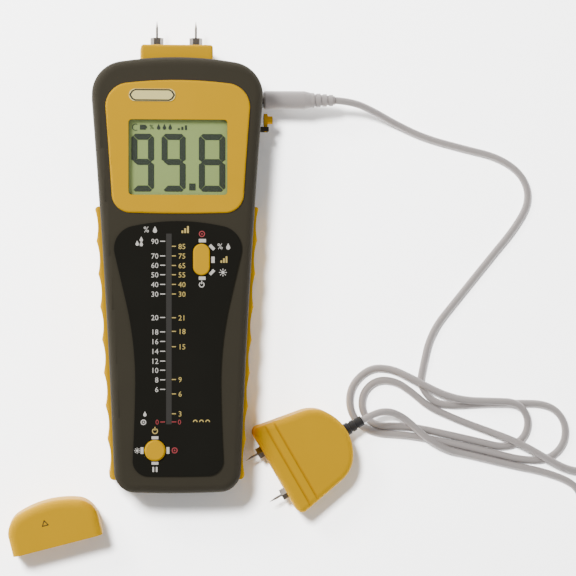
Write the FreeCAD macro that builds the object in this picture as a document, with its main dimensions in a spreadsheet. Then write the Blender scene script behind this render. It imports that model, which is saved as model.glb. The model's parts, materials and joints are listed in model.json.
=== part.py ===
import FreeCAD, Part
import math
import os
import re
import Sketcher

# Pin-type moisture meter with a remote pin probe on a lead and a loose pin cap.
# Millimetres. The meter lies on its back: +Z out of the display, +Y towards the pins,
# +X to the right. The origin is the middle of the back face.

Vector = FreeCAD.Vector
doc = FreeCAD.newDocument("MoistureMeter")

SIZES = {
    # case outline and heights
    "case_half_top": 35.9, "case_half_low": 26.6, "case_top_line": 89.6, "case_low_line": -91.0,
    "case_top_round": 14, "case_low_round": 9, "case_top_crown": 153, "case_low_crown": 400,
    "case_sweep": 4000, "parting": 16, "case_height": 33, 
    "front_rim": 3.6, "back_rim": 4.2, "side_wall": 3.4, "face_wall": 2.4,
    "clip_top": 8, "clip_low": 5, "seam_gap": 0.02,
    # display bezel and its window
    "bezel_half_top": 30.2, "bezel_half_low": 27.6, "bezel_top_line": 80.3, "bezel_low_line": 26.1,
    "bezel_top_round": 10, "bezel_low_round": 8, "bezel_top_crown": 181, "bezel_low_crown": 600,
    "bezel_sweep": 2500, "bezel_sink": 0.4, "bezel_rise": 0.9, "bezel_rim": 0.9,
    "window_half": 20.7, "window_low": 33.6, "window_top": 65.1, "window_round": 1.5,
    "lens_thick": 0.9, "plate_width": 19.4, "plate_height": 5.2,
    "plate_x": -10.8, "plate_y": 75.2, "plate_rise": 0.35,
    # control panel overlay and the bar strip in it
    "panel_thick": 0.6, "panel_waist": 17.8, "panel_waist_y": -45, "panel_half_low": 18.9,
    "panel_hip_y": -77.5, "panel_low_line": -83.8, "panel_low_half": 13, "panel_low_round": 6.3,
    "panel_low_crown": 600, "panel_knee": 21.6, "panel_knee_y": -11.5, "panel_half_top": 26.4,
    "panel_shoulder_y": 9, "panel_top_half": 18.5, "panel_top_line": 20.6, "panel_top_round": 9.6,
    "panel_top_crown": 86, "panel_low_sweep": 800, "panel_waist_sweep": 150,
    "bar_x": -3.8, "bar_half": 1.15, "bar_low": -62.2, "bar_top": 17.4,
    # buttons
    "round_x": -9.6, "round_y": -73.1, "round_radius": 4.4, "mode_x": 9.8, "mode_y": 6.6,
    "mode_radius": 3.5, "mode_half": 3.1, "button_gap": 0.3, "button_top": 34.9,
    "button_flange": 1.1, "flange_top": 30.3, "flange_thick": 1.1, "stem_low": 28.4,
    "stem_radius": 1.5, "button_edge": 0.7,
    # display and electronics stack
    "board_low": 24, "board_thick": 1.6, "lcd_half": 23.4, "lcd_low": 31, "lcd_top": 68,
    "lcd_bottom": 29.6, "lcd_thick": 1.8, "holder_rim": 2, "strip_width": 2.2, "light_thick": 1.6,
    "switch_side": 6, "switch_height": 1.6, "switch_cap": 0.3,
    # side grips
    "grip_low_y": -86, "grip_top_y": 29, "grip_low_out": 28.4, "grip_top_out": 34.8,
    "grip_low_in": 24.4, "grip_top_in": 30.4, "grip_base": 4.2, "grip_height": 21,
    "grip_round": 1.9, "scallop_pitch": 14, "scallop_depth": 1.1, "scallop_radius": 25,
    # pin head
    "block_half": 15.2, "block_in": 84.5, "block_out": 97.3, "block_low": 8, "block_high": 25,
    "block_edge": 1.2, "pin_gap": 8.25, "pin_z": 16.5, "nut_radius": 2.75, "nut_thick": 3.4,
    "insert_radius": 2.6, "insert_thick": 8, "needle_radius": 0.5, "needle_tip": 108.2,
    "needle_root": 86, "needle_point": 3.2, "root_radius": 0.75, "root_stand": 0.2,
    # battery and its door
    "battery_half": 13.25, "battery_low": -83, "battery_long": 48.5, "battery_z": 3.3,
    "battery_thick": 17.4, "door_half": 16.5, "door_start": -28, "door_recess": 0.4,
    "door_gap": 0.25, "door_end": -95, "foam_thick": 0.7,
    # probe socket, plug and lead
    "socket_y": 74.8, "jack_in": 20, "jack_face": 30, "jack_half": 4.4, "jack_height": 10,
    "neck_radius": 3.4, "neck_end": 36.6, "bore_radius": 1.8, "bore_depth": 15,
    "contact_radius": 1.75, "contact_long": 14, "plug_start": 36.9, "plug_end": 54.6,
    "plug_radius": 3.9, "relief_start": 57, "relief_end": 67.9, "relief_radius": 3.2,
    "lead_radius": 1.55, "relief_tip": 2.2,
    # dust plug on its hinge
    "dust_y": 66.2, "dust_radius": 2.7, "dust_start": 37.2, "dust_thick": 1.5, "dust_stub": 1.7,
    "dust_stub_long": 2.2, "hinge_x": 38.1, "hinge_y": 62.2, "hinge_pin": 0.5,
    "hinge_gap": 0.06, "hinge_barrel": 0.95, "hinge_half": 2.2, "lug_thick": 1,
    # remote probe, in its own frame: +X from the pins to the lead
    "probe_x": 42.2, "probe_y": -84.1, "probe_turn": 30, "probe_long": 35.4, "probe_half": 20.7,
    "probe_height": 19, "probe_front_round": 3, "probe_side_long": 22.8, "probe_side_half": 17.1,
    "probe_side_round": 14, "probe_back": 30.4, "probe_back_half": 13.2, "probe_back_round": 19.9,
    "probe_wall": 2.2,
    "probe_rim": 2.6, "probe_pin_gap": 10.2, "probe_nut_radius": 2.6, "probe_nut_thick": 2.4,
    "probe_tip": 8.6, "probe_step_a": 5.6, "probe_step_b": 9.6, "probe_step_deep": 0.9,
    "probe_relief_long": 8.4, "probe_relief_radius": 2.7,
    # loose pin cap, in its own frame: +Y from the mouth to the arch
    "cap_x": -50, "cap_y": -113.9, "cap_turn": 14, "cap_half": 19.4, "cap_side": 9,
    "cap_arch": 40, "cap_high": 22, "cap_wall": 1.9, "cap_shoulder": 10, "cap_round": 3.6,
    "cap_crown_line": 16.4, "cap_mouth": 11, "cap_needle_half": 9.8, "cap_needle_deep": 16.8,
}

sheet = doc.addObject("Spreadsheet::Sheet", "Sizes")
for row, (alias, size) in enumerate(SIZES.items(), start=1):
    sheet.set("A%d" % row, alias)
    sheet.set("B%d" % row, str(size))
    sheet.setAlias("B%d" % row, alias)
doc.recompute()

NODES = {}


def amount(rule):
    """Work out a rule such as 'parting + case_height * 0.5' from the sheet's numbers."""
    total = 0.0
    for term in rule.replace(" - ", " + -").split(" + "):
        words = term.lstrip("-").split(" ")
        values = [SIZES[word] if word in SIZES else float(word) for word in words[::2]]
        value = values[0]
        for sign, factor in zip(words[1::2], values[1:]):
            value = value * factor if sign == "*" else value / factor
        total += -value if term.startswith("-") else value
    return total


def bind(thing, target, rule):
    """Tie a property to the sheet, by a rule written with the sheet's names."""
    thing.setExpression(target, re.sub(r"[a-z]\w*", r"Sizes.\g<0>", rule))


def move(thing, place, turn="0", axis=Vector(0, 0, 1)):
    """Put a thing at a place given by three rules, turned about an axis."""
    angle = amount(turn)
    thing.Placement = FreeCAD.Placement(Vector(*map(amount, place)), FreeCAD.Rotation(axis, angle))
    for name, rule in zip("xyz", place):
        bind(thing, "Placement.Base." + name, rule)
    return thing


def publish(node, thing):
    """Name a finished piece; its name is its file's name."""
    thing.Label = node
    NODES[node] = thing
    return thing


def flip(rule):
    """The same rule with its signs changed, to follow a minus."""
    return rule.replace(" - ", " # ").replace(" + ", " - ").replace(" # ", " + ")


# ---- primitives and booleans ----

def box(name, low, size):
    solid = doc.addObject("Part::Box", name)
    for side, rule in zip(("Length", "Width", "Height"), size):
        bind(solid, side, rule)
    return move(solid, low)


def rod(name, base, radius, length, axis="Z"):
    """A cylinder whose base is at a place and whose length runs along +X, +Y or +Z."""
    turns = {"X": ("90", Vector(0, 1, 0)), "Y": ("-90", Vector(1, 0, 0)), "Z": ("0", Vector(0, 0, 1))}
    solid = doc.addObject("Part::Cylinder", name)
    bind(solid, "Radius", radius)
    bind(solid, "Height", length)
    return move(solid, base, *turns[axis])


def combine(kind, name, base, *tools):
    """Cut, Fuse or Common of a base with tools, one after another."""
    result = base
    for count, tool in enumerate(tools):
        step = doc.addObject("Part::" + kind, "%s%d" % (name, count))
        step.Base = result
        step.Tool = tool
        result = step
    return result


def group(name, solids):
    """Identical solids that share one node."""
    together = doc.addObject("Part::Compound", name)
    together.Links = solids
    return together


# ---- sketched bodies ----

def arc_edge(start, end, radius):
    """An arc between two points that bulges to the right of its way, or left if negative."""
    chord = end - start
    half = chord.Length / 2
    rise = abs(radius) - math.sqrt(radius * radius - half * half)
    side = Vector(chord.y, -chord.x, 0).normalize() * math.copysign(rise, radius)
    return Part.Arc(start, (start + end) / 2 + side, end)


def outline(body, corners, plane="XY_Plane", lift="0"):
    """A closed sketch through corners; a third rule makes the edge after a corner an arc."""
    sketch = body.newObject("Sketcher::SketchObject", body.Name + "Outline")
    origin = [item for item in body.Origin.OriginFeatures if item.Role == plane][0]
    sketch.AttachmentSupport = [(origin, "")]
    sketch.MapMode = "FlatFace"
    bind(sketch, "AttachmentOffset.Base.z", lift)
    points = [Vector(amount(corner[0]), amount(corner[1]), 0) for corner in corners]
    ends = []
    for count, corner in enumerate(corners):
        start, end = points[count], points[(count + 1) % len(points)]
        bend = amount(corner[2]) if len(corner) > 2 else 0
        sketch.addGeometry(arc_edge(start, end, bend) if bend else Part.LineSegment(start, end))
        ends.append((2, 1) if bend < 0 else (1, 2))
    for count, corner in enumerate(corners):
        after = (count + 1) % len(corners)
        sketch.addConstraint(
            Sketcher.Constraint("Coincident", count, ends[count][1], after, ends[after][0])
        )
        if len(corner) > 2:
            index = sketch.addConstraint(Sketcher.Constraint("Radius", count, abs(amount(corner[2]))))
            bind(sketch, "Constraints[%d]" % index, corner[2].lstrip("-"))
        for kind, rule, value in zip(("DistanceX", "DistanceY"), corner, points[count]):
            index = sketch.addConstraint(
                Sketcher.Constraint(kind, -1, 1, count, ends[count][0], value)
            )
            bind(sketch, "Constraints[%d]" % index, rule)
    return sketch


def plate(name, corners, lift, depth, down=False):
    """A body padded from an outline, up or down from a height."""
    body = doc.addObject("PartDesign::Body", name)
    profile = outline(body, corners, lift=lift)
    pad = body.newObject("PartDesign::Pad", name + "Pad")
    pad.Profile = profile
    bind(pad, "Length", depth)
    pad.Reversed = down
    doc.recompute()
    return body


def pocket(body, corners, lift, depth, up=False):
    """Cut an outline down (or up) from a height, and make sure that it cuts."""
    before = body.Shape.Volume
    profile = outline(body, corners, lift=lift)
    hole = body.newObject("PartDesign::Pocket", "%sPocket%d" % (body.Name, len(body.Group)))
    hole.Profile = profile
    bind(hole, "Length", depth)
    hole.Reversed = up
    doc.recompute()
    if not body.Shape.Volume < before - 1:
        raise RuntimeError(body.Name + ": the pocket cuts nothing")
    return body


def soften(body, radius, wanted):
    """Fillet the edges of a body that a test picks."""
    doc.recompute()
    names = ["Edge%d" % (n + 1) for n, edge in enumerate(body.Shape.Edges) if wanted(edge)]
    last = body.Tip
    fillet = body.newObject("PartDesign::Fillet", "%sFillet%d" % (body.Name, len(body.Group)))
    fillet.Base = (last, names)
    bind(fillet, "Radius", radius)
    doc.recompute()
    return body


def at_height(rule):
    """A test for edges that lie level at a height."""
    level = amount(rule)
    return lambda edge: all(abs(point.Z - level) < 0.01 for point in edge.Vertexes)


def turned(name, profile, place, turn="0", axis=Vector(0, 0, 1)):
    """A body turned about its own Z axis from (radius, height) corners, then placed."""
    body = doc.addObject("PartDesign::Body", name)
    sketch = outline(body, profile, plane="XZ_Plane")
    spin = body.newObject("PartDesign::Revolution", name + "Turn")
    spin.Profile = sketch
    spin.ReferenceAxis = (sketch, ["V_Axis"])
    doc.recompute()
    return move(body, place, turn, axis)


def rounded(half_x, low_y, high_y, radius):
    """A rounded rectangle, centred in X."""
    return [
        ("-%s + %s" % (half_x, radius), low_y), (half_x + " - " + radius, low_y, radius),
        (half_x, low_y + " + " + radius), (half_x, high_y + " - " + radius, radius),
        (half_x + " - " + radius, high_y), ("-%s + %s" % (half_x, radius), high_y, radius),
        ("-" + half_x, high_y + " - " + radius), ("-" + half_x, low_y + " + " + radius, radius),
    ]


def shield(part):
    """The tapered outline with crowned ends that the case and the bezel share."""
    low_x = part + "_half_low - " + part + "_low_round * 0.9"
    top_x = part + "_half_top - " + part + "_top_round * 0.85"
    low_y = part + "_low_line + " + part + "_low_round * 0.97"
    top_y = part + "_top_line - " + part + "_top_round"
    right = [
        (low_x, part + "_low_line", part + "_low_round"),
        (part + "_half_low", low_y, "-" + part + "_sweep"),
        (part + "_half_top", top_y, part + "_top_round"),
        (top_x, part + "_top_line", part + "_top_crown"),
    ]
    return right + mirrored(right, part + "_low_crown")


def mirrored(right, last_bend):
    """The left half of an outline from its right half, going the other way round."""
    left = []
    bends = [corner[2] if len(corner) > 2 else None for corner in right[:-1]][::-1] + [last_bend]
    for corner, bend in zip(right[::-1], bends):
        x = "-" + flip(corner[0])
        left.append((x, corner[1], bend) if bend else (x, corner[1]))
    return left


# ---- casing ----

def case_hollow():
    """The space inside both shells: an octagon that follows the tapered sides."""
    low_x, top_x = "case_half_low - side_wall", "case_half_top - side_wall"
    low_y, top_y = "case_low_line + side_wall", "case_top_line - side_wall"
    right = [
        (low_x + " - clip_low", low_y), (low_x, low_y + " + clip_low"),
        (top_x, top_y + " - clip_top"), (top_x + " - clip_top", top_y),
    ]
    return right + mirrored(right, None)


def posts(name, places, low, high, radius):
    return [
        rod("%s%d" % (name, n), (x, y, low), radius, high + " - " + flip(low))
        for n, (x, y) in enumerate(places)
    ]


CASE_SCREWS = [("21", "82.6"), ("-21", "82.6"), ("19.4", "-83.4"), ("-19.4", "-83.4")]
BOARD_SCREWS = [("25.6", "75.6"), ("-25.6", "75.6"), ("15", "-52"), ("-15", "-52")]


def pin_block_seat(name):
    """The notch for the pin block in the upper end wall."""
    return box(
        name, ("-block_half", "block_in", "block_low"),
        ("block_half * 2", "case_top_line", "block_high - block_low"),
    )


def grip(side):
    """A rubber side grip with scalloped outer edge, let into the side wall."""
    sign = "" if side == "Right" else "-"
    corners = [
        (sign + "grip_low_in", "grip_low_y"), (sign + "grip_low_out", "grip_low_y"),
        (sign + "grip_top_out", "grip_top_y"), (sign + "grip_top_in", "grip_top_y"),
    ]
    if sign:
        corners = corners[::-1]
    blank = plate("Grip" + side, corners, "grip_base", "grip_height")
    soften(blank, "grip_round", lambda edge: outer_long_edge(edge) or outer_end_edge(edge))
    lean = (amount("grip_top_out") - amount("grip_low_out"))
    lean = lean / (amount("grip_top_y") - amount("grip_low_y"))
    tools = []
    for count in range(8):
        along = "grip_low_y + scallop_pitch * %.1f" % (count + 0.6)
        out = "grip_low_out + scallop_pitch * %.4f" % ((count + 0.6) * lean)
        out = out + " + scallop_radius - scallop_depth"
        if sign:
            out = "-" + flip(out)
        tools.append(
            rod("Scallop%s%d" % (side, count), (out, along, "0"), "scallop_radius", "case_height")
        )
    return combine("Cut", "GripCut" + side, blank, *tools)


def outer_long_edge(edge):
    ends = [abs(point.X) for point in edge.Vertexes]
    return edge.Length > 50 and min(ends) > amount("grip_low_in") + 2


def outer_end_edge(edge):
    ends = edge.Vertexes
    upright = abs(ends[0].Z - ends[-1].Z) > 5
    x, y = abs(ends[0].X), ends[0].Y
    low = y < 0 and x > amount("grip_low_in") + 1
    high = y > 0 and x > amount("grip_top_in") + 1
    return upright and (low or high)


def front_shell(grips):
    shell = plate("FrontShell", shield("case"), "parting", "case_height - parting")
    soften(shell, "front_rim", at_height("case_height"))
    pocket(shell, case_hollow(), "parting", "case_height - parting - face_wall", up=True)
    pocket(shell, shield("bezel"), "case_height", "bezel_sink")
    window = [
        ("-lcd_half", "lcd_low"), ("lcd_half", "lcd_low"),
        ("lcd_half", "lcd_top"), ("-lcd_half", "lcd_top"),
    ]
    pocket(shell, window, "case_height", "face_wall")
    shell = combine(
        "Fuse", "FrontPosts", shell,
        *posts("FrontPost", CASE_SCREWS, "parting + seam_gap", "case_height - 1", "3.2"),
        *posts("BoardPost", BOARD_SCREWS, "board_low + board_thick", "case_height - 1", "2.2"),
    )
    tools = [
        pin_block_seat("FrontSeat"),
        rod("RoundHole", ("round_x", "round_y", "parting"), "round_radius + button_gap",
            "case_height"),
        oval("ModeHole", "mode_radius + button_gap", "parting", "case_height"),
        box("BarSlot", ("bar_x - bar_half", "bar_low", "parting"),
            ("bar_half * 2", "bar_top - bar_low", "case_height")),
        rod("FrontNeckHole", ("jack_face", "socket_y", "parting"), "neck_radius", "20", "X"),
        *posts("FrontBore", CASE_SCREWS, "parting - 1", "case_height - 3", "1.2"),
        *posts("BoardBore", BOARD_SCREWS, "board_low", "case_height - 3", "1"),
        *grips,
    ]
    return combine("Cut", "FrontCut", shell, *tools)


def oval(name, radius, low, height):
    """An upright slot shape at the mode button."""
    solid = combine(
        "Fuse", name,
        rod(name + "Low", ("mode_x", "mode_y - mode_half", low), radius, height),
        rod(name + "High", ("mode_x", "mode_y + mode_half", low), radius, height),
        box(name + "Mid", ("mode_x - " + flip(radius), "mode_y - mode_half", low),
            (radius + " + " + radius, "mode_half * 2", height)),
    )
    return solid


def back_outer(name):
    """The back shell's outer form, before it is hollowed."""
    body = plate(name, shield("case"), "parting", "parting", down=True)
    return soften(body, "back_rim", at_height("0"))


def door_space(name, gap):
    """The battery door's space in the floor, which runs out at the lower end."""
    half = "door_half + " + gap
    return box(
        name, ("-door_half - " + gap, "door_end", "-1"),
        (half + " + " + half, "door_start + %s - door_end" % gap, "face_wall + 1"),
    )


def back_shell(grips):
    shell = back_outer("BackShell")
    pocket(shell, case_hollow_low(), "parting", "parting - face_wall")
    shell = combine(
        "Fuse", "BackPosts", shell, *posts("BackPost", CASE_SCREWS, "1", "parting", "3.2")
    )
    tools = [
        pin_block_seat("BackSeat"),
        door_space("DoorSpace", "door_gap"),
        rod("BackNeckHole", ("jack_face", "socket_y", "parting"), "neck_radius", "20", "X"),
        *posts("BackBore", CASE_SCREWS, "-1", "parting + 1", "1.5"),
        *posts("BackHeadBore", CASE_SCREWS, "-1", "5", "2.8"),
        *grips,
    ]
    return combine("Cut", "BackCut", shell, *tools)


def case_hollow_low():
    """The hollow of the back shell, a little narrower because its sides draw in."""
    low_x, top_x = "case_half_low - side_wall - 0.6", "case_half_top - side_wall - 0.6"
    low_y, top_y = "case_low_line + side_wall + 0.6", "case_top_line - side_wall - 0.6"
    right = [
        (low_x + " - clip_low", low_y), (low_x, low_y + " + clip_low"),
        (top_x, top_y + " - clip_top"), (top_x + " - clip_top", top_y),
    ]
    return right + mirrored(right, None)


FOAM_LOW = ("-10", "-74", "face_wall - foam_thick")
FOAM_SIZE = ("20", "24", "foam_thick")


def battery_door():
    """The sliding door, with finger grooves and a shallow seat for the foam pad."""
    door = combine(
        "Common", "DoorForm", back_outer("DoorOuter"),
        box("DoorBox", ("-door_half", "door_end", "door_recess"),
            ("door_half * 2", "door_start - door_end", "face_wall - door_recess")),
    )
    ridges = [
        box("DoorGroove%d" % n, ("-8", "-44 - %d" % (3 * n), "0"), ("16", "1.2", "1"))
        for n in range(4)
    ]
    seat = box("FoamSeat", FOAM_LOW, FOAM_SIZE)
    return combine("Cut", "DoorGrooves", door, *ridges, seat)


# ---- display ----

def display_bezel():
    bezel = plate("Bezel", shield("bezel"), "case_height - bezel_sink", "bezel_sink + bezel_rise")
    soften(bezel, "bezel_rim", at_height("case_height + bezel_rise"))
    window = rounded("window_half", "window_low", "window_top", "window_round")
    pocket(bezel, window, "case_height + bezel_rise", "bezel_sink + bezel_rise")
    return bezel


def display_lens():
    ledge = [
        ("-lcd_half + 0.2", "lcd_low + 0.2"), ("lcd_half - 0.2", "lcd_low + 0.2"),
        ("lcd_half - 0.2", "lcd_top - 0.2"), ("-lcd_half + 0.2", "lcd_top - 0.2"),
    ]
    return plate("Lens", ledge, "case_height - bezel_sink - lens_thick", "lens_thick")


def lcd_holder():
    """The frame around the glass, the light and the rubber strips."""
    low = "board_low + board_thick"
    tall = "case_height - face_wall - board_low - board_thick"
    frame = box("HolderBlock", ("-lcd_half - holder_rim", "lcd_low - holder_rim", low),
                ("lcd_half * 2 + holder_rim * 2", "lcd_top - lcd_low + holder_rim * 2", tall))
    hole = box("HolderHole", ("-lcd_half", "lcd_low", "board_low"),
               ("lcd_half * 2", "lcd_top - lcd_low", "case_height"))
    return combine("Cut", "Holder", frame, hole)


def zebra_strips():
    low = "board_low + board_thick"
    tall = "lcd_bottom - board_low - board_thick"
    return group("ZebraStrips", [
        box("ZebraLow", ("-lcd_half", "lcd_low", low), ("lcd_half * 2", "strip_width", tall)),
        box("ZebraTop", ("-lcd_half", "lcd_top - strip_width", low),
            ("lcd_half * 2", "strip_width", tall)),
    ])


def name_plate():
    """A blank badge with round ends, let into the bezel's brow."""
    top = "case_height + bezel_rise"
    half = "plate_width / 2 - plate_height / 2"
    return combine(
        "Fuse", "NamePlate",
        box("PlateMid", ("plate_x - " + flip(half), "plate_y - plate_height / 2", top),
            ("plate_width - plate_height", "plate_height", "plate_rise")),
        rod("PlateLeft", ("plate_x - plate_width / 2 + plate_height / 2", "plate_y", top),
            "plate_height / 2", "plate_rise"),
        rod("PlateRight", ("plate_x + " + half, "plate_y", top), "plate_height / 2", "plate_rise"),
    )


# ---- control panel ----

def control_panel():
    right = [
        ("panel_low_half", "panel_low_line", "panel_low_round"),
        ("panel_half_low", "panel_hip_y", "-panel_low_sweep"),
        ("panel_waist", "panel_waist_y", "-panel_waist_sweep"),
        ("panel_knee", "panel_knee_y"),
        ("panel_half_top", "panel_shoulder_y", "panel_top_round"),
        ("panel_top_half", "panel_top_line", "panel_top_crown"),
    ]
    panel = plate("Panel", right + mirrored(right, "panel_low_crown"), "case_height", "panel_thick")
    return combine(
        "Cut", "PanelCut", panel,
        rod("PanelRoundHole", ("round_x", "round_y", "parting"), "round_radius + button_gap",
            "case_height"),
        oval("PanelModeHole", "mode_radius + button_gap", "parting", "case_height"),
        box("PanelSlot", ("bar_x - bar_half", "bar_low", "parting"),
            ("bar_half * 2", "bar_top - bar_low", "case_height")),
    )


def bar_window():
    return box("BarWindow", ("bar_x - bar_half", "bar_low", "case_height - face_wall"),
               ("bar_half * 2", "bar_top - bar_low", "face_wall + panel_thick + 0.1"))


def bar_leds():
    """Twelve light-emitting diodes under the bar strip."""
    step = (amount("bar_top") - amount("bar_low")) / 12
    return group("BarLeds", [
        box("Led%d" % n, ("bar_x - 0.8", "bar_low + %.3f" % (step * (n + 0.5) - 1),
                          "board_low + board_thick"), ("1.6", "2", "1.1"))
        for n in range(12)
    ])


def power_button():
    """A round key with a domed rim, a flange under the front wall and a short stem."""
    r, top, low = "round_radius", "button_top", "flange_top"
    profile = [
        ("0", "stem_low"), ("stem_radius", "stem_low"), ("stem_radius", low + " - flange_thick"),
        (r + " + button_flange", low + " - flange_thick"), (r + " + button_flange", low), (r, low),
        (r, top + " - button_edge"), (r + " - button_edge", top), ("0", top),
    ]
    return turned("PowerButton", profile, ("round_x", "round_y", "0"))


def mode_button():
    """The oval key, with its flange and its stem."""
    key = combine(
        "Fuse", "ModeKey",
        oval("ModeCap", "mode_radius", "flange_top - flange_thick",
             "button_top - flange_top + flange_thick"),
        oval("ModeFlange", "mode_radius + button_flange", "flange_top - flange_thick",
             "flange_thick"),
        rod("ModeStem", ("mode_x", "mode_y", "stem_low"), "stem_radius",
            "flange_top - flange_thick - stem_low"),
    )
    rim = doc.addObject("Part::Fillet", "ModeRim")
    rim.Base = key
    doc.recompute()
    level = at_height("button_top")
    radius = amount("button_edge")
    rim.Edges = [(n + 1, radius, radius) for n, edge in enumerate(key.Shape.Edges) if level(edge)]
    return rim


# ---- electronics ----

def main_board():
    right = [
        ("17", "-76"), ("20", "-30"), ("27.5", "26"), ("29.5", "79"),
    ]
    board = plate("Board", right + mirrored(right, None), "board_low", "board_thick")
    return combine(
        "Cut", "BoardHoles", board,
        *posts("BoardHole", BOARD_SCREWS, "board_low - 1", "case_height", "1.2"),
    )


CHIPS = [
    ("-7", "4", "14", "14", "1.6"), ("8", "22", "6", "5", "1.5"), ("-20", "-4", "5", "8", "1.5"),
    ("-16", "36", "5", "12", "3.4"), ("12", "44", "9", "6", "1.5"), ("-4", "-20", "10", "4", "1.5"),
]


def board_chips():
    """The converter, its crystal and the lesser chips, on the board's back."""
    return group("BoardChips", [
        box("Chip%d" % n, (x, y, "board_low - " + tall), (wide, deep, tall))
        for n, (x, y, wide, deep, tall) in enumerate(CHIPS)
    ])


def tact_switches():
    low = "board_low + board_thick"
    return group("TactSwitches", [
        combine(
            "Fuse", "Tact" + key,
            box("TactBase" + key, (key + "_x - switch_side / 2", key + "_y - switch_side / 2", low),
                ("switch_side", "switch_side", "switch_height")),
            rod("TactCap" + key, (key + "_x", key + "_y", low), "1.7", "switch_height + switch_cap"),
        )
        for key in ("round", "mode")
    ])


def beeper():
    return combine(
        "Cut", "Beeper",
        rod("BeeperCan", ("12", "-14", "board_low - 5"), "6", "5"),
        rod("BeeperHole", ("12", "-14", "board_low - 6"), "1", "2"),
    )


def screws(name, places, head_low, head_radius, head_tall, shank_radius, shank_top):
    solids = []
    for n, (x, y) in enumerate(places):
        solids.append(combine(
            "Cut", "%sScrew%d" % (name, n),
            combine(
                "Fuse", "%sForm%d" % (name, n),
                rod("%sHead%d" % (name, n), (x, y, head_low), head_radius, head_tall),
                rod("%sShank%d" % (name, n), (x, y, head_low), shank_radius,
                    shank_top + " - " + flip(head_low)),
            ),
            box("%sSlotA%d" % (name, n), (x + " - 1", y + " - 0.25", head_low), ("2", "0.5", "0.7")),
            box("%sSlotB%d" % (name, n), (x + " - 0.25", y + " - 1", head_low), ("0.5", "2", "0.7")),
        ))
    return group(name + "Screws", solids)


# ---- battery ----

def battery_can():
    can = plate("BatteryCan", [
        ("-battery_half", "battery_low"), ("battery_half", "battery_low"),
        ("battery_half", "battery_low + battery_long - 2.5"),
        ("-battery_half", "battery_low + battery_long - 2.5"),
    ], "battery_z", "battery_thick")
    return soften(can, "2", lambda edge: edge.Length > 40)


def battery_terminals():
    end = "battery_low + battery_long - 2.5"
    middle = "battery_z + battery_thick / 2"
    return group("Terminals", [
        rod("TerminalPlus", ("-6.4", end, middle), "2.9", "2.5", "Y"),
        rod("TerminalMinus", ("6.4", end, middle), "3.8", "2.5", "Y"),
    ])


def battery_snap():
    return box("Snap", ("-12", "battery_low + battery_long", "battery_z + battery_thick / 2 - 5"),
               ("24", "3", "10"))


def battery_leads():
    """Two wires from the snap up to the board."""
    start = "battery_low + battery_long + 3"
    middle = "battery_z + battery_thick / 2"
    solids = []
    for side, x in (("Plus", "-5"), ("Minus", "5")):
        solids.append(combine(
            "Fuse", "Lead" + side,
            rod("LeadOut" + side, (x, start, middle), "0.8", "6", "Y"),
            rod("LeadUp" + side, (x, start + " + 6", middle), "0.8",
                "board_low - battery_z - battery_thick / 2"),
        ))
    return group("BatteryLeads", solids)


# ---- pins ----

def pin_block():
    block = plate("PinBlock", rounded("block_half - 0.05", "block_in + 0.05", "block_out", "block_edge"),
                  "block_low + 0.05", "block_high - block_low - 0.1")
    soften(block, "block_edge", lambda edge: edge_at_end(edge, amount("block_out")))
    holes = [
        rod("PinSeat" + side, (x, "block_out - insert_thick", "pin_z"), "insert_radius",
            "insert_thick + 1", "Y")
        for side, x in (("Left", "-pin_gap"), ("Right", "pin_gap"))
    ] + [
        rod("PinBore" + side, (x, "needle_root", "pin_z"), "root_radius", "block_out", "Y")
        for side, x in (("Left", "-pin_gap"), ("Right", "pin_gap"))
    ]
    return combine("Cut", "PinBlockCut", block, *holes)


def edge_at_end(edge, y):
    return all(abs(point.Y - y) < 0.01 for point in edge.Vertexes) and edge.Length > 10


def sleeves(name, places, radius, bore, length):
    """Round sleeves along +Y."""
    return group(name, [
        combine("Cut", "%s%d" % (name, n), rod("%sOut%d" % (name, n), place, radius, length, "Y"),
                rod("%sIn%d" % (name, n), place, bore, length, "Y"))
        for n, place in enumerate(places)
    ])


def lock_nut(name, place, radius, length, bore, turn, axis):
    """A hexagon nut with a bore."""
    nut = doc.addObject("Part::Prism", name)
    nut.Polygon = 6
    bind(nut, "Circumradius", radius)
    bind(nut, "Height", length)
    hole = doc.addObject("Part::Cylinder", name + "Bore")
    bind(hole, "Radius", bore)
    bind(hole, "Height", length)
    return move(combine("Cut", name + "Cut", nut, hole), place, turn, axis)


def needle(name, place, root, length, turn, axis):
    """A needle with a thicker root and a ground point, along its own Z axis."""
    profile = [
        ("0", "0"), ("root_radius", "0"), ("root_radius", root), ("needle_radius", root),
        ("needle_radius", length + " - needle_point"), ("0", length),
    ]
    return turned(name, profile, place, turn, axis)


# ---- probe socket, plug, dust plug ----

def jack_socket():
    body = box("JackBody", ("jack_in", "socket_y - jack_half", "parting - jack_height / 2"),
               ("jack_face - jack_in", "jack_half * 2", "jack_height"))
    neck = rod("JackNeck", ("jack_face", "socket_y", "parting"), "neck_radius",
               "neck_end - jack_face", "X")
    bore = rod("JackBore", ("neck_end - bore_depth", "socket_y", "parting"), "bore_radius",
               "bore_depth + 1", "X")
    return combine("Cut", "JackCut", combine("Fuse", "Jack", body, neck), bore)


def plug_contact():
    """The stepped metal contact, with its two insulating grooves."""
    r = "contact_radius"
    profile = [
        ("0", "0"), ("0.6", "0"), (r, "1.6"), (r, "3.4"), (r + " - 0.35", "3.6"),
        (r + " - 0.35", "4"), (r, "4.2"), (r, "7"), (r + " - 0.35", "7.2"), (r + " - 0.35", "7.6"),
        (r, "7.8"), (r, "contact_long + 0.2"), ("0", "contact_long + 0.2"),
    ]
    return turned("PlugContact", profile, ("plug_start - contact_long", "socket_y", "parting"),
                  "90", Vector(0, 1, 0))


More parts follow.
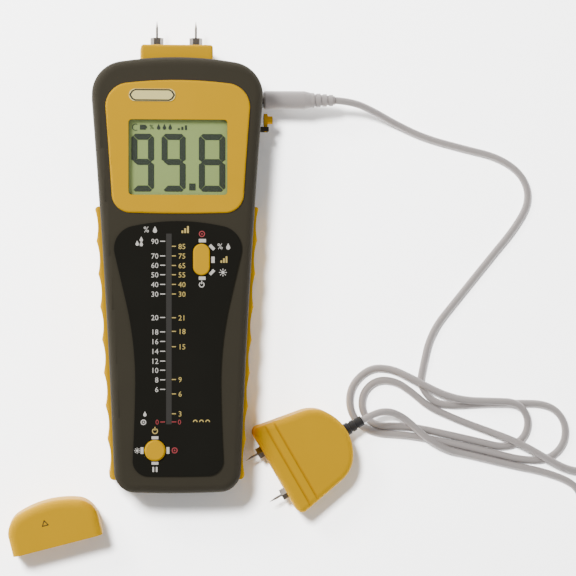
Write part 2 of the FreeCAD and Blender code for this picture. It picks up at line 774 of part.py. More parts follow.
def plug_body():
    profile = [
        ("0", "0.2"), ("plug_radius - 0.6", "0.2"), ("plug_radius", "0.8"),
        ("plug_radius", "plug_end - plug_start"),
        ("relief_radius + 0.1", "relief_start - plug_start"),
        ("0", "relief_start - plug_start"),
    ]
    body = turned("PlugBody", profile, ("plug_start", "socket_y", "parting"), "90", Vector(0, 1, 0))
    return body


def plug_relief():
    """The ribbed, tapering strain relief; the lead ends in it."""
    profile = [("0", "0"), ("relief_radius", "0")]
    ribs = 4
    for rib in range(ribs):
        low = "relief_end - relief_start"
        wide = "relief_radius - relief_radius * %.3f + relief_tip * %.3f" % (rib / ribs, rib / ribs)
        profile += [
            (wide, low + " - %.2f" % (10.9 - 2.7 * rib - 1.7)),
            (wide + " - 0.6", low + " - %.2f" % (10.9 - 2.7 * rib - 1.8)),
            (wide + " - 0.6", low + " - %.2f" % (10.9 - 2.7 * rib - 2.6)),
        ]
        if rib < ribs - 1:
            profile.append((wide + " - 0.3", low + " - %.2f" % (10.9 - 2.7 * rib - 2.7)))
    profile += [("0", profile[-1][1])]
    return turned("PlugRelief", profile, ("relief_start", "socket_y", "parting"),
                  "90", Vector(0, 1, 0))


def dust_plug():
    """A rubber disc with a stub, on a hinge barrel."""
    disc = rod("DustDisc", ("dust_start", "dust_y", "parting"), "dust_radius", "dust_thick", "X")
    stub = rod("DustStub", ("dust_start", "dust_y", "parting"), "dust_stub",
               "dust_thick + dust_stub_long", "X")
    low = "parting - hinge_half"
    barrel = rod("DustBarrel", ("hinge_x", "hinge_y", low), "hinge_barrel", "hinge_half * 2")
    strap = box("DustStrap", ("dust_start", "hinge_y", "parting - hinge_half * 0.7"),
                ("dust_thick", "dust_y - hinge_y - 1.5", "hinge_half * 1.4"))
    bore = rod("DustBore", ("hinge_x", "hinge_y", "0"), "hinge_pin + hinge_gap", "case_height")
    return combine("Cut", "DustCut", combine("Fuse", "DustForm", disc, stub, barrel, strap), bore)


def dust_bracket():
    """Two lugs on the side wall with the pin that the dust plug swings on."""
    low = "parting - hinge_half - 0.1"
    lug_in = "hinge_x - 3"
    lugs = [
        box("Lug%d" % n, (lug_in, "hinge_y - 1", z), ("4", "2", "lug_thick"))
        for n, z in enumerate((low + " - lug_thick", "parting + hinge_half + 0.1"))
    ]
    pin = rod("HingePin", ("hinge_x", "hinge_y", low + " - lug_thick"), "hinge_pin",
              "hinge_half * 2 + lug_thick * 2 + 0.2")
    return combine("Fuse", "Bracket", lugs[0], lugs[1], pin)


# ---- lead ----

LEAD_RUN = [
    (67.9, 74.8, 16.0), (75.5, 74.3, 15.2), (85.0, 70.9, 8.8), (94.5, 66.2, 3.2),
    (108.0, 59.9, 1.6), (125.0, 55.4, 1.6), (141.0, 51.6, 1.6), (151.6, 43.8, 1.6),
    (154.6, 33.0, 1.6), (148.6, 21.6, 1.6), (136.6, 7.2, 1.6), (123.0, -9.6, 1.6),
    (111.0, -24.4, 1.6), (107.2, -41.2, 1.6),
]
LEAD_TAIL = [(79.3, -62.7, 9.5), (85.7, -59.0, 9.5), (92.4, -58.4, 7.7), (98.2, -61.0, 5.4)]
HANK = [
    (73.2, -48.0), (76.2, -42.4), (82.6, -38.0), (93.6, -38.0), (103.6, -42.6),
    (104.1, -40.5), (110.3, -41.9), (110.8, -46.8), (120.0, -51.4), (128.0, -52.4),
    (163.4, -53.6), (172.2, -62.4), (172.2, -73.6), (168.4, -80.4), (176.0, -83.2),
    (184.6, -80.4), (194.4, -81.8), (200.2, -89.0), (199.8, -99.0), (192.8, -105.8),
    (183.0, -106.6), (175.0, -100.6), (173.0, -94.0), (160.0, -87.2), (127.0, -79.9),
    (106.0, -73.4),
    (83.0, -70.2), (73.2, -60.8),
]


def tube(name, points, radius):
    """A round lead along straight runs joined by tangent arcs."""
    points = [Vector(*point) for point in points]
    edges, here = [], points[0]
    for before, corner, after in zip(points, points[1:], points[2:]):
        back, ahead = (before - corner), (after - corner)
        shorter = min(back.Length, ahead.Length)
        back.normalize()
        ahead.normalize()
        turn = math.pi - back.getAngle(ahead)
        print("%s bend radius %.1f" % (name, 0.45 * shorter / math.tan(turn / 2)))
        start, end = corner + back * (0.45 * shorter), corner + ahead * (0.45 * shorter)
        half = (back + ahead).normalize()
        reach = 0.45 * shorter / math.cos(math.pi / 2 - turn / 2)
        bend = 0.45 * shorter / math.tan(turn / 2)
        middle = corner + half * (bend / math.cos(turn / 2) - bend)
        edges.append(Part.LineSegment(here, start).toShape())
        edges.append(Part.Arc(start, middle, end).toShape())
        here = end
    edges.append(Part.LineSegment(here, points[-1]).toShape())
    path = Part.Wire(edges)
    section = Part.Wire(Part.makeCircle(radius, points[0], points[1] - points[0]))
    solid = path.makePipeShell([section], True, False)
    whole = math.pi * radius ** 2 * path.Length
    print("%s length %.0f, volume %.3f of section times length" % (name, path.Length, solid.Volume / whole))
    feature = doc.addObject("Part::Feature", name)
    feature.Shape = solid
    return feature


def hank():
    corners = [Vector(x, y, 0) for x, y in HANK]
    face = Part.Face(Part.makePolygon(corners + corners[:1]))
    feature = doc.addObject("Part::Feature", "Hank")
    feature.Shape = face.extrude(Vector(0, 0, amount("lead_radius") * 4.2))
    return feature


# ---- remote probe ----

def probe_outline(inset):
    """A flat front, sides that draw in, and a round back."""
    less = " - " + inset
    front, bend = inset, "probe_front_round"
    wide, side = "probe_half" + less, "probe_side_half" + less
    side_end = "probe_side_long" + less + " * 0.4"
    back, back_half = "probe_back" + less + " * 0.75", "probe_back_half" + less + " * 0.7"
    return [
        (front, "-" + flip(wide) + " + " + bend, bend),
        (front + " + " + bend, "-" + flip(wide)),
        (side_end, "-" + flip(side), "probe_side_round"),
        (back, "-" + flip(back_half), "probe_back_round" + less),
        (back, back_half, "probe_side_round"), (side_end, side),
        (front + " + " + bend, wide, bend), (front, wide + " - " + bend),
    ]


def in_probe_frame(thing):
    return move(thing, ("probe_x", "probe_y", "0"), "probe_turn")


PROBE_SCREWS = [("22", "13"), ("22", "-13")]
PROBE_PINS = ("probe_pin_gap", "-probe_pin_gap")


def probe_shell(side):
    """Half of the probe's housing; the upper half has two steps cut across it."""
    top = side == "Top"
    middle = "probe_height / 2"
    name = "Probe" + side
    shell = plate(name, probe_outline("0"), middle, middle, down=not top)
    soften(shell, "probe_rim", at_height("probe_height" if top else "0"))
    pocket(shell, probe_outline("probe_wall"), middle, middle + " - probe_wall", up=top)
    low, high = (middle, "probe_height - 1") if top else ("1", middle)
    shell = combine("Fuse", name + "Posts", shell, *posts(name + "Post", PROBE_SCREWS, low, high, "3"))
    tools = [
        rod(name + "Pin%d" % n, ("-1", y, middle), "insert_radius", "probe_wall + 1.01", "X")
        for n, y in enumerate(PROBE_PINS)
    ]
    tools.append(rod(name + "Exit", ("probe_long - probe_wall - 1", "0", middle),
                     "probe_relief_radius", "probe_wall + 5", "X"))
    tools += posts(name + "Bore", PROBE_SCREWS, "-1", "probe_height - 3", "1.1")
    if top:
        tools += [
            box(name + step, (step, "-probe_half - 1", "probe_height - probe_step_deep"),
                ("0.9", "probe_half * 2 + 2", "2"))
            for step in ("probe_step_a", "probe_step_b")
        ]
    else:
        tools += posts(name + "HeadBore", PROBE_SCREWS, "-1", "3", "2.3")
    return in_probe_frame(combine("Cut", name + "Cut", shell, *tools))


def probe_inserts():
    return in_probe_frame(group("ProbeInserts", [
        combine(
            "Cut", "ProbeInsert%d" % n,
            rod("ProbeInsertOut%d" % n, ("0", y, "probe_height / 2"), "insert_radius", "9", "X"),
            rod("ProbeInsertIn%d" % n, ("0", y, "probe_height / 2"), "root_radius", "9", "X"),
        )
        for n, y in enumerate(PROBE_PINS)
    ]))


def probe_nuts():
    return in_probe_frame(group("ProbeNuts", [
        lock_nut("ProbeNut%d" % n, ("0", y, "probe_height / 2"), "probe_nut_radius",
                 "probe_nut_thick", "root_radius", "-90", Vector(0, 1, 0))
        for n, y in enumerate(PROBE_PINS)
    ]))


def probe_needle(name, y):
    spot = needle(name, ("6", y, "probe_height / 2"), "probe_nut_thick + root_stand + 6",
                  "probe_tip + 6", "-90", Vector(0, 1, 0))
    return in_probe_frame(group(name + "InFrame", [spot]))


def probe_screws():
    return in_probe_frame(screws("Probe", PROBE_SCREWS, "1.6", "2.2", "1.4", "1.1", "probe_height - 4"))


def probe_wires():
    """The two cores of the lead, inside the probe."""
    height = amount("probe_height / 2")
    cores = [
        tube("ProbeWire%d" % n, [
            (9.1, side * amount("probe_pin_gap"), height), (16, side * 9.6, height),
            (24, side * 4.4, height), (30.2, side * 1.5, height),
        ], 0.7)
        for n, side in enumerate((1, -1))
    ]
    return in_probe_frame(group("ProbeWires", cores))


def probe_relief():
    """A ribbed boot with a flange held between the two halves."""
    wide = "probe_relief_radius"
    profile = [
        ("0", "-probe_wall - 2.6"), (wide + " + 1", "-probe_wall - 2.6"),
        (wide + " + 1", "-probe_wall - 0.6"), (wide, "-probe_wall - 0.6"), (wide, "2"),
        (wide + " - 0.5", "2.1"), (wide + " - 0.5", "2.9"), (wide + " - 0.2", "3"),
        (wide + " - 0.2", "4.6"), (wide + " - 0.7", "4.7"),
        (wide + " - 0.7", "5.5"), (wide + " - 0.4", "5.6"), ("relief_tip", "probe_relief_long"),
        ("0", "probe_relief_long"),
    ]
    boot = turned("ProbeRelief", profile, ("probe_long", "0", "probe_height / 2"),
                  "90", Vector(0, 1, 0))
    return in_probe_frame(group("ProbeBoot", [boot]))


# ---- pin cap ----

def pin_cap():
    """A box with an arched end, open at its mouth, with a stepped space for the needles."""
    right = [
        ("cap_half", "0"), ("cap_half", "cap_side", "cap_shoulder"),
        ("cap_half - cap_shoulder * 0.55", "cap_crown_line", "cap_arch"),
    ]
    cap = plate("Cap", right + mirrored(right, None), "0", "cap_high")
    soften(cap, "cap_round", lambda edge: cap_rim(edge))
    wide = box("CapWide", ("-cap_half + cap_wall", "-1", "cap_wall"),
               ("cap_half * 2 - cap_wall * 2", "cap_mouth + 1", "cap_high - cap_wall * 2"))
    deep = box("CapDeep", ("-cap_needle_half", "-1", "cap_wall"),
               ("cap_needle_half * 2", "cap_needle_deep + 1", "cap_high - cap_wall * 2"))
    cap = combine("Cut", "CapCut", cap, wide, deep)
    return move(cap, ("cap_x", "cap_y", "0"), "cap_turn")


def cap_rim(edge):
    """The cap's upper and lower edges, all but those of its mouth."""
    level = all(point.Z < 0.01 for point in edge.Vertexes)
    level = level or all(point.Z > amount("cap_high") - 0.01 for point in edge.Vertexes)
    return level and any(point.Y > 0.01 for point in edge.Vertexes)


# ---- the whole ----

def build():
    grips = {side: grip(side) for side in ("Left", "Right")}
    both = list(grips.values())
    publish("grip_left", grips["Left"])
    publish("grip_right", grips["Right"])
    publish("front_shell", front_shell(both))
    publish("back_shell", back_shell(both))
    publish("battery_door", battery_door())
    publish("battery_foam", box("Foam", FOAM_LOW, FOAM_SIZE))
    publish("case_screws", screws(
        "Case", CASE_SCREWS, "2.4", "2.7", "2.2", "1.2", "parting + 8"))
    publish("display_bezel", display_bezel())
    publish("display_lens", display_lens())
    publish("name_plate", name_plate())
    publish("lcd_glass", box(
        "Glass", ("-lcd_half", "lcd_low", "lcd_bottom"),
        ("lcd_half * 2", "lcd_top - lcd_low", "lcd_thick")))
    publish("lcd_backlight", box(
        "Light", ("-lcd_half", "lcd_low + strip_width + 0.3", "lcd_bottom - light_thick"),
        ("lcd_half * 2", "lcd_top - lcd_low - strip_width * 2 - 0.6", "light_thick")))
    publish("lcd_holder", lcd_holder())
    publish("zebra_strips", zebra_strips())
    publish("control_panel", control_panel())
    publish("bar_window", bar_window())
    publish("bar_leds", bar_leds())
    publish("power_button", power_button())
    publish("mode_button", mode_button())
    publish("main_board", main_board())
    publish("board_chips", board_chips())
    publish("board_screws", screws(
        "Board", BOARD_SCREWS, "board_low - 1.4", "1.8", "1.4", "1", "case_height - 4"))
    publish("tact_switches", tact_switches())
    publish("beeper", beeper())
    publish("battery_9v", battery_can())
    publish("battery_terminals", battery_terminals())
    publish("battery_snap", battery_snap())
    publish("battery_leads", battery_leads())
    publish("pin_block", pin_block())
    pins = [("-pin_gap", "Left"), ("pin_gap", "Right")]
    publish("pin_inserts", sleeves(
        "PinInsert", [(x, "block_out - insert_thick", "pin_z") for x, side in pins],
        "insert_radius", "root_radius", "insert_thick"))
    publish("pin_nuts", group("PinNuts", [
        lock_nut("PinNut" + side, (x, "block_out", "pin_z"), "nut_radius", "nut_thick",
                 "root_radius", "-90", Vector(1, 0, 0)) for x, side in pins]))
    for x, side in pins:
        publish("needle_" + side.lower(), needle(
            "Needle" + side, (x, "needle_root", "pin_z"),
            "block_out - needle_root + nut_thick + root_stand", "needle_tip - needle_root",
            "-90", Vector(1, 0, 0)))
    publish("jack_socket", jack_socket())
    publish("dust_plug", dust_plug())
    publish("dust_bracket", dust_bracket())
    publish("plug_contact", plug_contact())
    publish("plug_body", plug_body())
    publish("plug_relief", plug_relief())
    publish("lead_run", tube("LeadRun", LEAD_RUN, amount("lead_radius")))
    publish("lead_hank", hank())
    publish("lead_tail", tube("LeadTail", LEAD_TAIL, amount("lead_radius")))
    publish("probe_top_shell", probe_shell("Top"))
    publish("probe_bottom_shell", probe_shell("Bottom"))
    publish("probe_inserts", probe_inserts())
    publish("probe_nuts", probe_nuts())
    publish("probe_needle_left", probe_needle("ProbeNeedleLeft", "probe_pin_gap"))
    publish("probe_needle_right", probe_needle("ProbeNeedleRight", "-probe_pin_gap"))
    publish("probe_screws", probe_screws())
    publish("probe_wires", probe_wires())
    publish("probe_relief", probe_relief())
    publish("pin_cap", pin_cap())


def check():
    """Stop before anything is written if an object failed."""
    doc.recompute()
    for thing in doc.Objects:
        if "Invalid" in thing.State or "Error" in thing.State:
            raise RuntimeError("%s failed: %s" % (thing.Label, thing.State))
    for node, thing in NODES.items():
        if thing.Shape.isNull() or not thing.Shape.isValid() or not thing.Shape.Solids:
            raise RuntimeError(node + " has no valid solid")


def write():
    os.makedirs("parts", exist_ok=True)
    for node, thing in NODES.items():
        thing.Shape.exportStep("parts/%s.step" % node)
        print("%-20s solids %d" % (node, len(thing.Shape.Solids)))


build()
check()
write()
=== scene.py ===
import json
import math
import bmesh
import bpy
from mathutils import Matrix, Vector


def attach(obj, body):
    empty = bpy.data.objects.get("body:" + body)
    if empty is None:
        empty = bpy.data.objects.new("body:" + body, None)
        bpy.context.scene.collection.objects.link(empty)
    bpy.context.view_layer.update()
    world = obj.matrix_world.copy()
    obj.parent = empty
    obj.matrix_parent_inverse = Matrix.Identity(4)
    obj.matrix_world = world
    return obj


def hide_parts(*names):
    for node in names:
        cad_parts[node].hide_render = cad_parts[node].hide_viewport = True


# Moisture meter on its back, with its remote pin probe, its lead and its loose pin cap.
# Metres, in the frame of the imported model: +Z out of the display, +Y towards the pins.

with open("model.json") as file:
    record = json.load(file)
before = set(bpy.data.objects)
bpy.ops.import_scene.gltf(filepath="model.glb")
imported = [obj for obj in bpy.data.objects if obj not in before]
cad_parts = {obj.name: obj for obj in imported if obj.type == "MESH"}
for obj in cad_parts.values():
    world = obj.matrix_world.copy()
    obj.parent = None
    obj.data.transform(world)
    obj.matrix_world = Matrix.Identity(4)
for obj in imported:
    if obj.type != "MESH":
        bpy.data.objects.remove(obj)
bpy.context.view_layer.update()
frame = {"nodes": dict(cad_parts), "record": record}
MM = 0.001
nodes = frame["nodes"]


# ---- camera and stage ----

def add_camera():
    """A long lens almost straight above, a little to the left of the meter."""
    data = bpy.data.cameras.new("camera")
    data.lens = 150
    data.sensor_width = 36
    camera = bpy.data.objects.new("camera", data)
    bpy.context.collection.objects.link(camera)
    place = Vector((-0.0376, -0.0053, 1.036))
    back = (place - Vector((0.0489, -0.0053, 0.0))).normalized()
    across = Vector((0, 1, 0)).cross(back).normalized()
    turn = Matrix((across, back.cross(across), back)).transposed()
    camera.matrix_world = Matrix.Translation(place) @ turn.to_4x4()
    bpy.context.scene.camera = camera


def add_light(name, place, aim, size, power, colour=(1, 1, 1), only=None):
    """An area light; it lights only one object's surface if that is given."""
    data = bpy.data.lights.new(name, "AREA")
    data.energy = power
    data.size = size
    data.color = colour
    light = bpy.data.objects.new(name, data)
    bpy.context.collection.objects.link(light)
    light.location = place
    way = Vector(aim) - Vector(place)
    light.rotation_euler = way.to_track_quat("-Z", "Y").to_euler()
    if only:
        lit = bpy.data.collections.new(name + "_receives")
        lit.objects.link(only)
        light.light_linking.receiver_collection = lit


def add_stage():
    """A plain white floor and a soft white surround."""
    mesh = bpy.data.meshes.new("floor")
    shape = bmesh.new()
    bmesh.ops.create_grid(shape, x_segments=1, y_segments=1, size=3)
    shape.to_mesh(mesh)
    shape.free()
    floor = bpy.data.objects.new("floor", mesh)
    bpy.context.collection.objects.link(floor)
    floor.data.materials.append(plain("floor_white", (0.93, 0.93, 0.93), 0.9))
    world = bpy.data.worlds.new("surround")
    world.use_nodes = True
    world.node_tree.nodes["Background"].inputs["Color"].default_value = (1, 1, 1, 1)
    world.node_tree.nodes["Background"].inputs["Strength"].default_value = 0.55
    bpy.context.scene.world = world
    return floor


# ---- materials ----

def new_material(name):
    material = bpy.data.materials.new(name)
    material.use_nodes = True
    tree = material.node_tree
    return material, tree, tree.nodes["Principled BSDF"]


def plain(name, colour, roughness=0.55):
    material, tree, shader = new_material(name)
    shader.inputs["Base Color"].default_value = (*colour, 1)
    shader.inputs["Roughness"].default_value = roughness
    return material


def socket(group, name, way, kind, value=None):
    made = group.interface.new_socket(name=name, in_out=way, socket_type="NodeSocket" + kind)
    if value is not None:
        made.default_value = value
    return made


def link(tree, source, output, target, entry):
    tree.links.new(source.outputs[output], target.inputs[entry])


def math_node(tree, operation, first, second):
    """A Math node; each of its two values is a number or a (node, output) pair."""
    node = tree.nodes.new("ShaderNodeMath")
    node.operation = operation
    for index, value in enumerate((first, second)):
        if isinstance(value, tuple):
            tree.links.new(value[0].outputs[value[1]], node.inputs[index])
        else:
            node.inputs[index].default_value = value
    return node


def build_grain_group():
    """Fine mould texture with a slow drift of shade and gloss, on Object coordinates."""
    group = bpy.data.node_groups.new("mould_grain", "ShaderNodeTree")
    socket(group, "Colour", "INPUT", "Color", (0.5, 0.5, 0.5, 1))
    socket(group, "Shade", "INPUT", "Float", 0.1)
    socket(group, "Roughness", "INPUT", "Float", 0.5)
    socket(group, "Grain Scale", "INPUT", "Float", 1500)
    socket(group, "Colour", "OUTPUT", "Color")
    socket(group, "Roughness", "OUTPUT", "Float")
    socket(group, "Height", "OUTPUT", "Float")
    entry = group.nodes.new("NodeGroupInput")
    out = group.nodes.new("NodeGroupOutput")
    place = group.nodes.new("ShaderNodeTexCoord")
    slow = group.nodes.new("ShaderNodeTexNoise")
    slow.inputs["Scale"].default_value = 45
    slow.inputs["Detail"].default_value = 4
    link(group, place, "Object", slow, "Vector")
    fine = group.nodes.new("ShaderNodeTexNoise")
    fine.inputs["Detail"].default_value = 2
    link(group, place, "Object", fine, "Vector")
    link(group, entry, "Grain Scale", fine, "Scale")
    drift = math_node(group, "SUBTRACT", (slow, "Fac"), 0.5)
    drift = math_node(group, "MULTIPLY", (drift, "Value"), (entry, "Shade"))
    level = math_node(group, "ADD", (drift, "Value"), 1.0)
    tint = group.nodes.new("ShaderNodeVectorMath")
    tint.operation = "SCALE"
    link(group, entry, "Colour", tint, "Vector")
    link(group, level, "Value", tint, "Scale")
    link(group, tint, "Vector", out, "Colour")
    gloss = math_node(group, "ADD", (entry, "Roughness"), (drift, "Value"))
    link(group, gloss, "Value", out, "Roughness")
    link(group, fine, "Fac", out, "Height")
    return group


def moulded(name, colour, roughness, shade=0.12, grain=1500, depth=0.00004, coat=0.0, sheen=0.0,
            shine=0.25):
    """Moulded plastic or rubber: the shared grain, at this finish's own scale and depth."""
    material, tree, shader = new_material(name)
    grained = tree.nodes.new("ShaderNodeGroup")
    grained.node_tree = GRAIN
    grained.inputs["Colour"].default_value = (*colour, 1)
    grained.inputs["Shade"].default_value = shade
    grained.inputs["Roughness"].default_value = roughness
    grained.inputs["Grain Scale"].default_value = grain
    bump = tree.nodes.new("ShaderNodeBump")
    bump.inputs["Strength"].default_value = 0.5
    bump.inputs["Distance"].default_value = depth
    link(tree, grained, "Height", bump, "Height")
    link(tree, grained, "Colour", shader, "Base Color")
    link(tree, grained, "Roughness", shader, "Roughness")
    link(tree, bump, "Normal", shader, "Normal")
    shader.inputs["Coat Weight"].default_value = coat
    shader.inputs["Specular IOR Level"].default_value = shine
    shader.inputs["Coat Roughness"].default_value = 0.25
    shader.inputs["Sheen Weight"].default_value = sheen
    return material


def metal(name, colour, roughness):
    material = moulded(name, colour, roughness, shade=0.3, grain=2500, depth=0.00001)
    material.node_tree.nodes["Principled BSDF"].inputs["Metallic"].default_value = 1.0
    return material


def clear(name):
    """A thin clear window: mostly see-through, with a hard gloss."""
    material, tree, shader = new_material(name)
    shader.inputs["Base Color"].default_value = (0.1, 0.12, 0.1, 1)
    shader.inputs["Roughness"].default_value = 0.05
    shader.inputs["Specular IOR Level"].default_value = 0.15
    shader.inputs["Alpha"].default_value = 0.03
    return material


GRAIN = build_grain_group()
FINISHES = {
    "shell": moulded("dark_shell", (0.042, 0.037, 0.026), 0.72, 0.20, 1800, 0.00005, shine=0.07),
    "yellow": moulded("yellow_plastic", (0.61, 0.335, 0.0), 0.5, 0.10, 1400, 0.00003, shine=0.03),
    "grip": moulded("yellow_rubber", (0.61, 0.33, 0.0), 0.65, 0.12, 1200, 0.00006, shine=0.03),
    "panel": moulded("black_overlay", (0.010, 0.0095, 0.007), 0.42, 0.2, 2600, 0.00001, shine=0.08),
    "bar": moulded("smoked_strip", (0.042, 0.040, 0.037), 0.35, 0.1, 900, 0.00001, shine=0.1),
    "lens": clear("clear_lens"),
    "lcd": moulded("display_green", (0.31, 0.42, 0.14), 0.35, 0.08, 300, 0.000002),
    "badge": moulded("pale_badge", (0.80, 0.70, 0.28), 0.35, 0.08, 1200, 0.00001),
    "light": moulded("light_guide", (0.85, 0.85, 0.82), 0.3),
    "board": moulded("green_board", (0.02, 0.16, 0.06), 0.4),
    "chip": moulded("black_plastic", (0.02, 0.02, 0.02), 0.45),
    "white_plastic": moulded("white_plastic", (0.75, 0.75, 0.72), 0.4),
    "steel": metal("plain_steel", (0.20, 0.18, 0.16), 0.32),
    "dark_steel": metal("dark_steel", (0.15, 0.135, 0.12), 0.35),
    "brass": metal("turned_brass", (0.65, 0.46, 0.2), 0.3),
    "battery": moulded("battery_wrap", (0.05, 0.05, 0.07), 0.3, coat=0.3),
    "black_rubber": moulded("black_rubber", (0.022, 0.021, 0.022), 0.6, 0.2, 1500, 0.00005),
    "lead": moulded("lead_grey", (0.40, 0.365, 0.355), 0.5, 0.10, 900, 0.00003, sheen=0.1),
    "foam": moulded("dark_foam", (0.08, 0.08, 0.08), 0.9, 0.3, 3000, 0.0001),
}
INKS = {
    "white": plain("ink_white", (0.62, 0.60, 0.56)),
    "cream": plain("ink_cream", (0.55, 0.42, 0.12)),
    "red": plain("ink_red", (0.36, 0.035, 0.045)),
    "digit": plain("display_digit", (0.018, 0.030, 0.014)),
    "black": plain("ink_black", (0.01, 0.01, 0.009)),
}


def finish_cad_nodes():
    """Give each CAD node the finish of its record slot."""
    for part in frame["record"]["subparts"]:
        material = FINISHES[part["material_slot"]]
        data = nodes[part["node"]].data
        data.materials.clear()
        data.materials.append(material)


# ---- the lead ----

LEAD_RADIUS = 0.00155
LEAD_RUN = [
    (67.9, 74.8, 16.0), (75.5, 74.3, 15.2), (85.0, 70.9, 8.8), (94.5, 66.2, 3.2),
    (108.0, 59.9, 1.6), (125.0, 55.4, 1.6), (141.0, 51.6, 1.6), (151.6, 43.8, 1.6),
    (154.6, 33.0, 1.6), (148.6, 21.6, 1.6), (136.6, 7.2, 1.6), (123.0, -9.6, 1.6),
    (111.0, -24.4, 1.6), (107.2, -41.2, 1.6),
]
HANK_TURNS = [
    # in from the run and round the outer right loop
    (106.2, -47.6, 1.6), (112.4, -55.3, 1.6), (121.5, -56.4, 1.6), (134.0, -55.6, 1.6),
    (148.0, -55.4, 1.6), (163.0, -55.8, 1.6), (170.2, -63.0, 1.6), (170.2, -73.0, 1.6),
    (163.0, -80.2, 1.6),
    # left along the lower side, round the outer left loop
    (152.0, -80.3, 1.6), (140.0, -77.5, 1.6), (127.0, -74.3, 1.6), (113.0, -71.3, 1.6),
    (100.5, -69.0, 1.6), (83.7, -68.0, 1.6), (75.5, -59.8, 1.6), (75.5, -48.2, 1.6),
    (83.7, -40.0, 1.6), (93.0, -40.0, 1.8),
    # right again, over the run, and round the inner right loop
    (101.0, -43.6, 3.8), (108.6, -47.8, 4.9), (116.5, -51.6, 4.9), (125.5, -54.0, 4.9),
    (137.0, -54.4, 4.9), (148.9, -54.8, 4.4), (154.2, -62.3, 2.2), (152.2, -71.0, 1.6),
    (143.8, -75.0, 1.6),
    # left between the strands, round the inner left loop
    (131.5, -71.9, 1.6), (118.0, -68.8, 1.6), (105.5, -66.0, 1.6), (96.0, -65.0, 1.6),
    (87.0, -65.3, 1.6), (80.9, -59.5, 1.6), (80.9, -50.9, 1.6), (87.0, -45.0, 1.6),
    # right across the middle, over the inner loop and the lower side
    (95.5, -45.6, 1.6), (102.6, -50.4, 1.6), (109.6, -56.6, 1.6), (118.6, -60.8, 1.6),
    (128.0, -64.6, 1.6), (137.5, -68.0, 2.2), (146.5, -71.4, 4.7), (155.0, -75.6, 4.9),
    (163.0, -80.4, 4.9),
    # the far fold
    (170.8, -84.3, 3.8), (178.6, -85.6, 2.0), (184.8, -82.6, 1.6), (192.6, -83.6, 1.6),
    (197.8, -89.8, 1.6), (197.4, -97.8, 1.6), (191.8, -103.4, 1.6), (183.8, -104.2, 1.6),
    (177.6, -99.6, 1.6), (176.2, -93.4, 1.6), (171.0, -89.0, 1.6),
    # left along the bottom edge, then up over the loops
    (160.0, -85.2, 1.6), (149.0, -83.0, 1.6), (138.0, -80.4, 1.6), (127.0, -77.7, 1.6),
    (119.0, -76.0, 2.3), (112.5, -72.6, 4.6), (107.4, -69.2, 4.9), (102.8, -64.8, 4.9),
]
LEAD_TAIL = [(98.2, -61.0, 5.4), (92.4, -58.4, 7.7), (85.7, -59.0, 9.5), (79.3, -62.7, 9.5)]


def make_lead():
    """One open NURBS spline from the plug, through the hank, to the probe's boot."""
    points = LEAD_RUN + HANK_TURNS + LEAD_TAIL
    curve = bpy.data.curves.new("lead", "CURVE")
    curve.dimensions = "3D"
    spline = curve.splines.new("NURBS")
    spline.points.add(len(points) - 1)
    for spot, place in zip(spline.points, points):
        spot.co = (*(value * MM for value in place), 1)
    spline.order_u = 3
    spline.use_endpoint_u = True
    spline.resolution_u = 8
    curve.bevel_depth = LEAD_RADIUS
    curve.bevel_resolution = 6
    curve.use_fill_caps = True
    lead = bpy.data.objects.new("lead", curve)
    bpy.context.collection.objects.link(lead)
    curve.materials.append(FINISHES["lead"])
    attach(lead, "probe_lead")
    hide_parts("lead_run", "lead_hank", "lead_tail")


# ---- making pieces ----

def add_piece(name, shape, material, body, smooth=True):
    """Turn a bmesh into a piece that rides on a body."""
    bmesh.ops.recalc_face_normals(shape, faces=shape.faces)
    mesh = bpy.data.meshes.new(name)
    shape.to_mesh(mesh)
    shape.free()
    mesh.materials.append(material)
    for face in mesh.polygons:
        face.use_smooth = smooth
    piece = bpy.data.objects.new(name, mesh)
    bpy.context.collection.objects.link(piece)
    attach(piece, body)
    return piece


def flat_shape(shape, outline, low, high):
    """An upright prism from an outline of (x, y) points, in millimetres."""
    face = shape.faces.new([shape.verts.new((x * MM, y * MM, low * MM)) for x, y in outline])
    made = bmesh.ops.extrude_face_region(shape, geom=[face])
    rising = [item for item in made["geom"] if isinstance(item, bmesh.types.BMVert)]
    bmesh.ops.translate(shape, verts=rising, vec=(0, 0, (high - low) * MM))


def arc_points(centre, radius, start, stop, count):
    return [
        (centre[0] + radius * math.cos(math.radians(angle)),
         centre[1] + radius * math.sin(math.radians(angle)))
        for angle in (start + (stop - start) * n / (count - 1) for n in range(count))
    ]


def ring(shape, centre, outer, inner, low, high, start=0, stop=180, count=14):
    """Part of a flat ring."""
    flat_shape(shape, arc_points(centre, outer, start, stop, count)
               + arc_points(centre, inner, stop, start, count), low, high)


def bar(shape, x, y, wide, tall, low, high, lean=0.0):
    """A small upright slab about a point, turned by some degrees."""
    turn = math.radians(lean)
    corners = [(-wide / 2, -tall / 2), (wide / 2, -tall / 2), (wide / 2, tall / 2),
               (-wide / 2, tall / 2)]
    flat_shape(shape, [
        (x + u * math.cos(turn) - v * math.sin(turn), y + u * math.sin(turn) + v * math.cos(turn))
        for u, v in corners
    ], low, high)


def drop(shape, x, y, tall, low, high):
    """A water drop about a point."""
    radius = tall * 0.31
    round_part = arc_points((x, y - tall / 2 + radius), radius, 150, 390, 13)
    flat_shape(shape, [(x, y + tall / 2)] + round_part, low, high)


